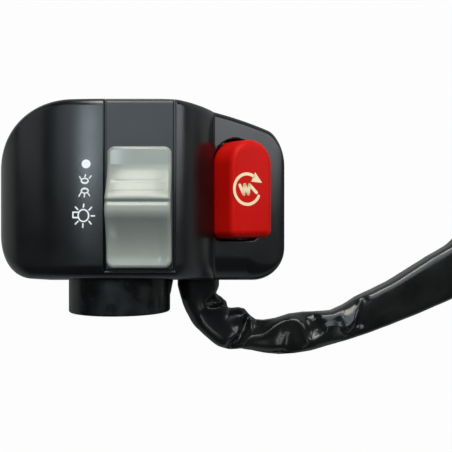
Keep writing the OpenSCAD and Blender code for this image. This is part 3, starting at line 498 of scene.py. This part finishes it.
def back_section(x, y, z):
    deep = back_height(x)
    edge = np.minimum(low_share * deep, back_rim_r)
    return round_max(round_max(-z - deep, y - upper_edge(x), edge), lower_edge(x) - y, edge)


def housing_form(section, x, y, z):
    """Distance from a half's outer form, from its section at x and the section's change along x."""
    here = section(x, y, z)
    slope = (section(x + 0.06, y, z) - section(x - 0.06, y, z)) / 0.12
    return np.maximum(here / np.sqrt(1 + slope ** 2), np.maximum(-lobe_reach - x, x - pod_reach))


def rod(x, z, r):
    """Distance from a round rod or bore."""
    return np.hypot(x, z) - r


def span(v, low, high):
    """Distance from the span between low and high."""
    return np.maximum(low - v, v - high)


def on_pod(x, y, z):
    """Place along the start button's own axes: across, along the bar and out of the pod's face."""
    dx, dz = x - button_x, z - pod_face(button_x)
    c, s = math.cos(pod_tilt), math.sin(pod_tilt)
    return c * dx - s * dz, y - button_y, s * dx + c * dz


def round_box(a, b, corner):
    """Distance from a box with rounded corners, from the distances past its two corner lines."""
    past = np.hypot(np.maximum(a, 0), np.maximum(b, 0))
    return past + np.minimum(np.maximum(a, b), 0) - corner


def button_outline(u, v):
    """Distance from the button's plan: a round upper end and two small lower corners."""
    half, corner = button_w / 2, 2.2
    middle = (button_len - button_w) / 2
    box_u, box_v = np.abs(u) - half + corner, corner - button_len / 2 - v
    return np.where(v > middle, np.hypot(u, v - middle) - half, round_box(box_u, box_v, corner))


def bar_cut(x, y, z, inside):
    """Takes the bar's bore and the collar's seat and groove out of a half."""
    inside = np.maximum(inside, -rod(x, z, bar_r))
    seat = np.maximum(rod(x, z, collar_r + collar_gap), y + lower_len - seat_len)
    groove = span(y, -lower_len + groove_low, -lower_len + groove_high)
    groove = np.maximum(rod(x, z, flange_r + collar_gap), groove)
    return np.maximum(np.maximum(inside, -seat), -groove)


def saddles(x, y, z):
    """Ribs round the bar at the two ends of a half."""
    lower = np.maximum(rod(x, z, saddle_r), y + lower_len - saddle_len)
    upper = np.maximum(rod(x, z, bar_r + end_saddle_wall), upper_len - end_saddle_len - y)
    return np.minimum(lower, upper)


def front_field(x, y, z):
    outer = housing_form(front_section, x, y, z)
    u, v, w = on_pod(x, y, z)
    plan = button_outline(u, v)
    shell = np.maximum(outer, -(outer + wall))
    ribs = saddles(x, y, z)
    left, right = screw_at
    ribs = np.minimum(ribs, rod(x - left[0], y - left[1], boss_r))
    ribs = np.minimum(ribs, np.maximum(rod(x - right[0], y - right[1], boss_r), z - flank_boss_top))
    for side in (-light_post_side, light_post_side):
        for at in light_posts:
            post = rod(x - track_x - side, y - at, post_r)
            ribs = np.minimum(ribs, np.maximum(post, light_post_low - z))
    well = np.maximum(plan - button_gap - well_wall, -well_depth - well_floor - w)
    guide = np.maximum(rod(u, v, guide_r), span(w, guide_low, guide_top))
    for at in start_posts:
        post = rod(u, v - at, post_r)
        guide = np.minimum(guide, np.maximum(post, span(w, start_post_low, guide_top)))
    ribs = np.minimum(np.minimum(ribs, well), guide)
    shell = np.minimum(shell, np.maximum(ribs, outer + under_skin))
    channel = np.maximum(np.abs(x - track_x) - track_w / 2, track_low - y)
    shell = round_max(shell, -np.maximum(channel, recess_floor - z), lip)
    shell = round_max(shell, -np.maximum(plan - button_gap, -well_depth - w), lip)
    slot = np.maximum(np.abs(x - track_x) - slot_half, span(y, slot_low, slot_high))
    shell = np.maximum(shell, -np.maximum(slot, slot_floor - z))
    shell = np.maximum(shell, -np.maximum(rod(u, v, stem_bore), w + 3))
    for at in screw_at:
        shell = np.maximum(shell, -np.maximum(rod(x - at[0], y - at[1], insert_r), z - insert_depth))
    return round_max(bar_cut(x, y, z, shell), -z + parting_gap, parting_edge)


def steps(*spans):
    """A line of sample places made of spans (from, to, step)."""
    parts = [np.linspace(a, b, max(2, round((b - a) / s) + 1)) for a, b, s in spans]
    return np.unique(np.concatenate(parts).round(4))


def moulded_mesh(name, lines, field, material, body, place=None):
    """A moulded form as a mesh: the zero surface of its distance field, sampled on three lines of places.

    Each point is then moved onto the exact surface and takes its normal from the field's slope.
    """
    grid = openvdb.FloatGrid(1.0)
    x, y, z = np.meshgrid(*lines, indexing="ij", sparse=True)
    shape = tuple(len(v) for v in lines)
    grid.copyFromArray(np.ascontiguousarray(np.broadcast_to(field(x, y, z), shape), dtype=np.float32))
    found, triangles, quads = grid.convertToPolygons(isovalue=0.0, adaptivity=0.0)
    p = np.stack([np.interp(found[:, k], np.arange(len(v)), v) for k, v in enumerate(lines)], 1)

    def slope(q, e=0.03):
        return np.stack([(field(*(q + d).T) - field(*(q - d).T)) / (2 * e) for d in np.eye(3) * e], 1)

    for _ in range(2):
        g = slope(p)
        size = np.maximum((g ** 2).sum(1), 0.2)
        p -= np.clip(field(*p.T) / size, -0.12, 0.12)[:, None] * g
    g = slope(p)
    if place:
        p, g = place(p, True), place(g, False)
    piece = link_mesh(name, p, quads.tolist() + triangles.tolist(), material, body)
    g /= np.maximum(np.linalg.norm(g, axis=1), 1e-9)[:, None]
    piece.data.normals_split_custom_set_from_vertices(g.tolist())
    return piece


shell_black = finish_of("shell_black", (0.0035, 0.0036, 0.004), (0.0055, 0.0056, 0.006),
                        0.21, 0.25, 90, 5200, 0.006)
front_lines = (
    steps((-31.6, -1.2, 0.45), (-1.2, 1.0, 0.15), (1.0, 16.4, 0.5), (16.4, 18.8, 0.15), (18.8, 46.4, 0.4)),
    steps((-25.8, -19.6, 0.3), (-19.6, 12, 0.5), (12, 21.6, 0.3)),
    steps((-0.4, 0.8, 0.15), (0.8, 23.6, 0.42), (23.6, 26.6, 0.15)))
front = moulded_mesh("front_half", front_lines, front_field, shell_black, "housing")
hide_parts("front_shell")


# Rear shell: the flat-backed half, moulded with the front one's outline; it holds the bar saddles,
# the two deep screw wells and the round exit for the lead.
rear_boss_r, head_r, head_top, screw_hole_r = 5.4, 4.1, -7, 2.55
lead_x, lead_z, lead_hole_r = 21.6, -7.5, 6.05
clamp_post_side, clamp_post_y, clamp_post_r, clamp_post_top = 5.6, -17.2, 2, -8.75


def rear_field(x, y, z):
    outer = housing_form(back_section, x, y, z)
    shell = np.maximum(outer, -(outer + wall))
    ribs = saddles(x, y, z)
    ribs = np.minimum(ribs, np.maximum(np.abs(x) - 13.1, span(y, -2, 1)))
    for at in screw_at:
        ribs = np.minimum(ribs, rod(x - at[0], y - at[1], rear_boss_r))
    for side in (-clamp_post_side, clamp_post_side):
        post = rod(x - lead_x - side, y - clamp_post_y, clamp_post_r)
        ribs = np.minimum(ribs, np.maximum(post, z - clamp_post_top))
    shell = np.minimum(shell, np.maximum(ribs, outer + under_skin))
    for at in screw_at:
        shell = round_max(shell, -np.maximum(rod(x - at[0], y - at[1], head_r), z - head_top), lip)
        shell = np.maximum(shell, -rod(x - at[0], y - at[1], screw_hole_r))
    shell = np.maximum(shell, -np.maximum(rod(x - lead_x, z - lead_z, lead_hole_r), y + lower_len - 3.6))
    return round_max(bar_cut(x, y, z, shell), z + parting_gap, parting_edge)


rear_lines = (steps((-31.6, 46.4, 0.5)), steps((-25.8, -20, 0.35), (-20, 16, 0.5), (16, 21.6, 0.35)),
              steps((-17.5, -13, 0.3), (-13, -0.8, 0.5), (-0.8, 0.4, 0.15)))
rear = moulded_mesh("rear_half", rear_lines, rear_field, shell_black, "housing")
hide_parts("rear_shell")


# Bar collar: a split nylon bush between the bar and the shells; its flange sits in their groove
# and a small lug stops it from turning.
collar_in, collar_out, flange_low, flange_high = 6.4, 8.6, 2.7, 4.9
outer_edge, bore_edge, slit_half = 0.5, 0.35, 0.8
lug_half, lug_len, lug_rise, lug_slope = 2.5, 4, 0.8, 0.2


def collar_field(x, y, z):
    low = -lower_len - collar_out
    tube = np.maximum(rod(x, z, collar_r), y + lower_len - collar_in)
    tube = round_max(tube, low - y, outer_edge)
    flange = np.maximum(rod(x, z, flange_r), span(y, -lower_len + flange_low, -lower_len + flange_high))
    tube = np.minimum(tube, flange)
    lug = np.maximum(np.abs(z) - lug_half, span(y, -lower_len - lug_len, -lower_len))
    lug = np.maximum(lug, (x - collar_r - lug_rise - (y + lower_len) * lug_slope) / 1.02)
    tube = np.minimum(tube, np.maximum(lug, collar_r - 1 - x))
    tube = round_max(tube, -rod(x, z, bar_r), bore_edge)
    return np.maximum(tube, -np.maximum(np.abs(x) - slit_half, z + bar_r - 1))


collar_black = finish_of("collar_black", (0.002, 0.002, 0.002), (0.005, 0.0052, 0.0056),
                         0.22, 0.40, 210, 3000, 0.015)
collar_lines = (steps((-15.6, 15.6, 0.3)), steps((-34.2, -32.8, 0.15), (-32.8, -18.4, 0.35)),
                steps((-15.6, 15.6, 0.3)))
collar = moulded_mesh("collar", collar_lines, collar_field, collar_black, "housing")
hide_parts("bar_collar")


# Track plate: a flat black plate in the channel that the knob runs on, rounded over at the
# housing's upper end.
plate_gap, plate_t, plate_end_gap, plate_end_r, plate_edge = 0.5, 1, 0.2, 1.2, 0.12


def plate_field(x, y, z):
    plate = np.maximum(span(x, face_l + plate_gap, face_r - plate_gap), track_low + plate_gap - y)
    plate = np.maximum(plate, recess_floor - z)
    end = round_max(z - recess_floor - plate_t, y - upper_len + plate_end_gap, plate_end_r)
    plate = round_max(plate, end, plate_edge)
    slot = np.maximum(np.abs(x - track_x) - slot_half, span(y, slot_low, slot_high))
    return np.maximum(plate, -slot)


track_black = finish_of("track_black", (0.006, 0.0066, 0.0078), (0.008, 0.0088, 0.0102),
                        0.34, 0.40, 120, 5200, 0.010)
plate_lines = (steps((face_l, face_l + 1, 0.1), (face_l + 1, face_r - 1, 0.8), (face_r - 1, face_r, 0.1)),
               steps((-21.4, -20, 0.2), (-20, 18, 0.8), (18, 21.6, 0.12)), steps((24.3, 26, 0.1)))
plate = moulded_mesh("track_plate_face", plate_lines, plate_field, track_black, "housing")
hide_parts("track_plate")

# Slider knob: glossy grey plastic, with a dished thumb pad, a grooved crest and a concave ribbed
# ramp down to a thin tail; a screw from inside fixes it to its carrier.
knob_low, knob_floor, knob_w, knob_len = -20.3, 25.8, 15.8, 29.6
crest_h, ramp_from, ramp_to, tail_t, groove_at = 5.2, 17.3, 25.3, 1.4, 15.95
lip_at, lip_run, hollow_run, pad_slope = 14.1, 2.2, 8.6, 0.68
rib_at, valley_at, groove_depth, groove_w, crown_drop = 18.5, 21.0, 0.5, 0.55, 0.4
knob_corner, knob_edge = 1.9, 0.9
foot_half, foot_at, foot_reach, foot_low, foot_high = 2.4, 14.8, 3.5, -5.7, 0.5


def knob_height(x, y):
    """Height of the knob's face over its floor, across x and along y from its lower end."""
    side = knob_w / 2 - np.abs(x)
    rise = np.clip((ramp_to - y) / (ramp_to - ramp_from), 0, 1.3)
    ramp = -blend_more(-tail_t - (crest_h - tail_t) * rise ** 1.5, -crest_h, 0.7)
    ribs = 0.06 * np.exp(-((y - rib_at) / 0.35) ** 2) - 0.09 * np.exp(-((y - valley_at) / 0.4) ** 2)
    crown = crown_drop * (2 * np.abs(x) / knob_w) ** 3 * ease(y, groove_at, groove_at + 3)
    upper = ramp - crown + ribs * ease(side, 0.9, 2.6)
    past = np.maximum(lip_at - y, 0)
    turn_in = np.minimum(past, lip_run)
    hollow = np.maximum(past - lip_run, 0)
    dish = pad_slope * (turn_in ** 2 / (2 * lip_run) + hollow - hollow ** 2 / (2 * hollow_run))
    lower = crest_h - dish * (0.84 + 0.16 * ease(side, 0, 3.4))
    groove = groove_depth * np.exp(-((y - groove_at) / groove_w) ** 2)
    return np.where(y < groove_at, lower, upper) - groove


def knob_field(x, y, z):
    x, y, z = x - track_x, y - knob_low, z - knob_floor
    e = 0.04
    high = knob_height(x, y)
    lean = np.hypot((knob_height(x + e, y) - knob_height(x - e, y)) / (2 * e),
                    (knob_height(x, y + e) - knob_height(x, y - e)) / (2 * e))
    face = (z - high) / np.sqrt(1 + lean ** 2)
    past_x = np.abs(x) - knob_w / 2 + knob_corner
    past_y = np.abs(y - knob_len / 2) - knob_len / 2 + knob_corner
    cap = np.maximum(round_max(face, round_box(past_x, past_y, knob_corner), knob_edge), -z)
    foot = np.maximum(np.abs(x) - foot_half, np.abs(y - foot_at) - foot_reach)
    return np.minimum(cap, np.maximum(foot, span(z, foot_low, foot_high)))


knob_grey = finish_of("knob_grey", (0.235, 0.25, 0.222), (0.265, 0.28, 0.25), 0.20, 0.27, 70, 4200, 0.004)
knob_lines = (steps((0.3, 2.6, 0.12), (2.6, 14.6, 0.3), (14.6, 16.9, 0.12)),
              steps((-21.2, -19, 0.15), (-19, -6, 0.25), (-6, 5.6, 0.12), (5.6, 8, 0.25), (8, 9.6, 0.12)),
              steps((19.8, 25.4, 0.4), (25.4, 31.4, 0.12)))
knob = moulded_mesh("knob", knob_lines, knob_field, knob_grey, "slider")
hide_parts("slider_knob")


# Light signs: white pad-printed marks on the lobe beside the slider, for off, position light
# and headlight, each a thin film of paint on the moulding.
def film(name, strips, lay, material, body, thick=0.03):
    """Thin closed films of paint from strips of left and right edge points, laid on a surface."""
    points, faces = [], []
    for left, right in strips:
        n, first = len(left), len(points)
        for edge in (left, right):
            for a, b in edge:
                spot, up = lay(a, b)
                points += [spot + up * thick, spot - up * thick]

        def at(edge, i, deep):
            return first + (edge * n + i) * 2 + deep

        for i in range(n - 1):
            faces += [(at(0, i, 0), at(1, i, 0), at(1, i + 1, 0), at(0, i + 1, 0)),
                      (at(0, i, 1), at(0, i + 1, 1), at(1, i + 1, 1), at(1, i, 1)),
                      (at(0, i, 0), at(0, i + 1, 0), at(0, i + 1, 1), at(0, i, 1)),
                      (at(1, i, 1), at(1, i + 1, 1), at(1, i + 1, 0), at(1, i, 0))]
        for i, order in ((0, (0, 1, 3, 2)), (n - 1, (2, 3, 1, 0))):
            ring = [at(0, i, 0), at(0, i, 1), at(1, i, 0), at(1, i, 1)]
            faces.append(tuple(ring[k] for k in order))
    piece = link_mesh(name, np.array(points), faces, material, body)
    piece.data.shade_flat()


def stroke(path, width, rounded=True):
    """Edges of a stroke along a path, with round ends."""
    path = np.array(path, float)
    t = np.gradient(path, axis=0)
    t /= np.linalg.norm(t, axis=1)[:, None]
    n = np.stack([-t[:, 1], t[:, 0]], 1)
    r = width / 2
    left, right = list(path + n * r), list(path - n * r)
    if rounded:
        for angle in (30, 60, 80):
            a = math.radians(angle)
            left.insert(0, path[0] - t[0] * r * math.sin(a) + n[0] * r * math.cos(a))
            right.insert(0, path[0] - t[0] * r * math.sin(a) - n[0] * r * math.cos(a))
            left.append(path[-1] + t[-1] * r * math.sin(a) + n[-1] * r * math.cos(a))
            right.append(path[-1] + t[-1] * r * math.sin(a) - n[-1] * r * math.cos(a))
    return left, right


def arc(centre, r, start, stop, count, squeeze=1.0):
    a = np.radians(np.linspace(start, stop, count))
    return np.stack([centre[0] + r * np.cos(a), centre[1] + r * squeeze * np.sin(a)], 1)


def on_lobe(x, y):
    """A place on the lobe and the direction out of it."""
    e = 0.02
    lean = (lobe_height(x + e) - lobe_height(x - e)) / (2 * e)
    up = np.array([-lean, 0, 1]) / math.hypot(lean, 1)
    return np.array([x, y, float(lobe_height(x))]), up


mark, dot_w, lamp_x = 0.36, 2.2, -4.76
marks = [stroke([(-4.43, 5.04), (-4.42, 5.04)], dot_w)]
upper_rays = (((-6.05, 1.99), (-5.69, 1.33)), ((-4.57, 2.38), (-4.71, 1.84)), ((-3.18, 2.14), (-3.62, 1.55)))
lower_rays = (((-5.69, -1.91), (-6.2, -2.81)), ((-4.81, -2.35), (-4.88, -3.03)),
              ((-3.98, -2.06), (-3.54, -2.74)))
for lamp_y, bowl, rays_at in ((0.97, -1, upper_rays), (-1.55, 1, lower_rays)):
    marks.append(stroke(arc((lamp_x, lamp_y), 0.82, 0, 360, 32, 0.66), mark * 0.8, False))
    dome = arc((lamp_x, lamp_y - 0.1 * bowl), 0.9, 15 * bowl, 165 * bowl, 20, 0.86)
    marks.append(stroke(dome, mark * 0.9))
    marks += [stroke(ray, mark * 0.8) for ray in rays_at]
bulb = (-5.1, -7.54)
marks.append(stroke(arc(bulb, 1.3, 0, 360, 48, 1.12), mark, False))
bulb_rays = (((-4.98, -4.79), (-5.1, -5.47)), ((-3.1, -5.54), (-3.69, -6.2)),
             ((-3.18, -7.64), (-2.37, -7.64)), ((-3.69, -9.0), (-3.18, -9.59)),
             ((-5.2, -9.59), (-5.25, -10.42)), ((-6.42, -8.93), (-7.08, -9.59)),
             ((-6.49, -6.05), (-7.08, -5.47)))
marks += [stroke(ray, mark) for ray in bulb_rays]
cap = ((-6.3, -6.74), (-7.7, -6.74), (-7.7, -8.04), (-6.3, -8.04))
marks += [stroke(side, mark * 1.05) for side in zip(cap[:-1], cap[1:])]
sign_white = finish_of("sign_white", (0.78, 0.79, 0.80), (0.86, 0.87, 0.88), 0.42, 0.5, 800, 6000, 0.01)
film("light_signs", marks, on_lobe, sign_white, "housing")


# Start button: semi-gloss red plastic cap with a round upper end and eased edges, hollow over its
# return spring, on a stem that slides through the pod.
cap_top, cap_low, cap_edge, cap_draft = 8.0, -1.2, 1.8, 0.045
cap_wall, cap_roof = 2, 5.6
stem_r, stem_low, stem_high = 2.2, -12.05, 6.2
neck_r, neck_low, neck_high = 1.6, -10.0, -9.2
tip_r, tip_low, tip_high = 1.2, -12.95, -11.6


def button_field(u, v, w):
    plan = button_outline(u, v)
    cap = round_max(plan + cap_draft * (w - cap_low), w - cap_top, cap_edge)
    cap = np.maximum(cap, cap_low - w)
    cap = np.maximum(cap, -np.maximum(plan + cap_wall, w - cap_roof))
    stem = np.maximum(rod(u, v, stem_r), span(w, stem_low, stem_high))
    neck = np.maximum(neck_r - np.hypot(u, v), span(w, neck_low, neck_high))
    stem = np.maximum(stem, -neck)
    tip = np.maximum(rod(u, v, tip_r), span(w, tip_low, tip_high))
    return np.minimum(np.minimum(cap, stem), tip)


def from_pod(p, moved):
    """Places (moved) or directions, from the start button's own axes to the shared frame."""
    c, s = math.cos(pod_tilt), math.sin(pod_tilt)
    out = np.stack([c * p[:, 0] + s * p[:, 2], p[:, 1], c * p[:, 2] - s * p[:, 0]], 1)
    return out + (np.array([button_x, button_y, pod_face(button_x)]) if moved else 0)


button_red = finish_of("button_red", (0.47, 0.004, 0.002), (0.52, 0.006, 0.004),
                       0.34, 0.42, 90, 4200, 0.005, specular=0.07)
button_lines = (steps((-7, 7, 0.22)), steps((-13.4, 13.4, 0.22)),
                steps((-13.2, -2, 0.4), (-2, 5, 0.3), (5, 8.4, 0.15)))
button = moulded_mesh("button", button_lines, button_field, button_red, "button", from_pod)
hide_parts("start_button")

# Start sign: cream pad print on the button's face, a ring arrow round a spark; a thin film of
# paint that moves with the button.
ring_at, ring_r, ring_w, spark_w = (-1.85, -0.25), 3.9, 0.78, 0.84


def on_button(u, v):
    """A place on the button's face and the direction out of it."""
    spot = from_pod(np.array([[u, v, cap_top]]), True)[0]
    return spot, from_pod(np.array([[0, 0, 1.0]]), False)[0]


cream_marks = [stroke(arc(ring_at, ring_r, 58, 334, 60), ring_w)]
cream_marks.append(([(0.55, 4.15), (2.72, 1.5)], [(0.55, 4.15), (-0.62, 1.72)]))
spark = [(-4.1, 0.7), (-2.9, -1.6), (-2.65, 0.9), (-1.5, -1.45), (-1.2, 0.9), (0.95, -1.05)]
for a, b in zip(spark[:-1], spark[1:]):
    cream_marks.append(stroke([a, b], spark_w))
sign_cream = finish_of("sign_cream", (0.82, 0.62, 0.36), (0.86, 0.70, 0.45), 0.4, 0.5, 900, 6000, 0.01)
film("start_sign", cream_marks, on_button, sign_cream, "button")

# Metal, resin and rubber pieces inside the housing and on the lead: their solids are right as
# they are and take the finish of each material.
steel = finish_of("zinc_steel", (0.50, 0.50, 0.52), (0.62, 0.62, 0.64), 0.24, 0.40, 500, 5000, 0.01, 1.0)
brass = finish_of("contact_brass", (0.62, 0.42, 0.16), (0.78, 0.56, 0.25), 0.22, 0.38, 500, 5000, 0.01, 1.0)
resin = finish_of("base_resin", (0.16, 0.075, 0.035), (0.24, 0.12, 0.06), 0.45, 0.6, 400, 3000, 0.03)
nylon = finish_of("natural_nylon", (0.62, 0.60, 0.54), (0.74, 0.72, 0.66), 0.35, 0.5, 200, 2500, 0.02)
rubber = finish_of("lead_rubber", (0.010, 0.010, 0.010), (0.020, 0.020, 0.019), 0.5, 0.65, 300, 2500, 0.03)
wire_red = finish_of("wire_red", (0.28, 0.02, 0.015), (0.36, 0.035, 0.025), 0.35, 0.45, 400, 3000, 0.01)
finishes = {
    steel: ("knob_screw", "detent_leaf", "light_base_screws", "stem_clip", "start_base_screws",
            "housing_screws", "lead_clamp", "lead_clamp_screws"),
    brass: ("contact_bridge", "light_contacts", "start_bridge", "start_contacts", "screw_inserts",
            "connector_terminals"),
    resin: ("light_base", "start_base"),
    nylon: ("slider_carrier", "connector_body"),
    rubber: ("lead_grommet", "lead_boot"),
    wire_red: ("inner_wires",)}
for material, names in finishes.items():
    for name in names:
        nodes[name].data.materials.clear()
        nodes[name].data.materials.append(material)

# Start spring: a coil of plated steel wire between the pod's well and the button's roof, drawn at
# its pressed length, so that it clears the button at both ends of the travel.
coil_r, wire_r, coil_turns, coil_low, coil_high, wire_sides = 3.5, 0.4, 5, -4.1, 2.2, 10
turn = np.linspace(0, 2 * math.pi * coil_turns, 24 * coil_turns + 1)
outward = np.stack([np.cos(turn), np.sin(turn), 0 * turn], 1)
centre = coil_r * outward + np.linspace(coil_low, coil_high, len(turn))[:, None] * np.array([0, 0, 1.0])
rings = [centre + wire_r * (math.cos(a) * outward + math.sin(a) * np.array([0, 0, 1.0]))
         for a in 2 * math.pi * np.arange(wire_sides) / wire_sides]
points = from_pod(np.stack(rings, 1).reshape(-1, 3), True)
faces = tube_faces(len(turn), wire_sides)
faces.append(tuple(range(wire_sides)))
faces.append(tuple((len(turn) - 1) * wire_sides + k for k in reversed(range(wire_sides))))
spring = link_mesh("spring", points, faces, steel, "housing")
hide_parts("start_spring")
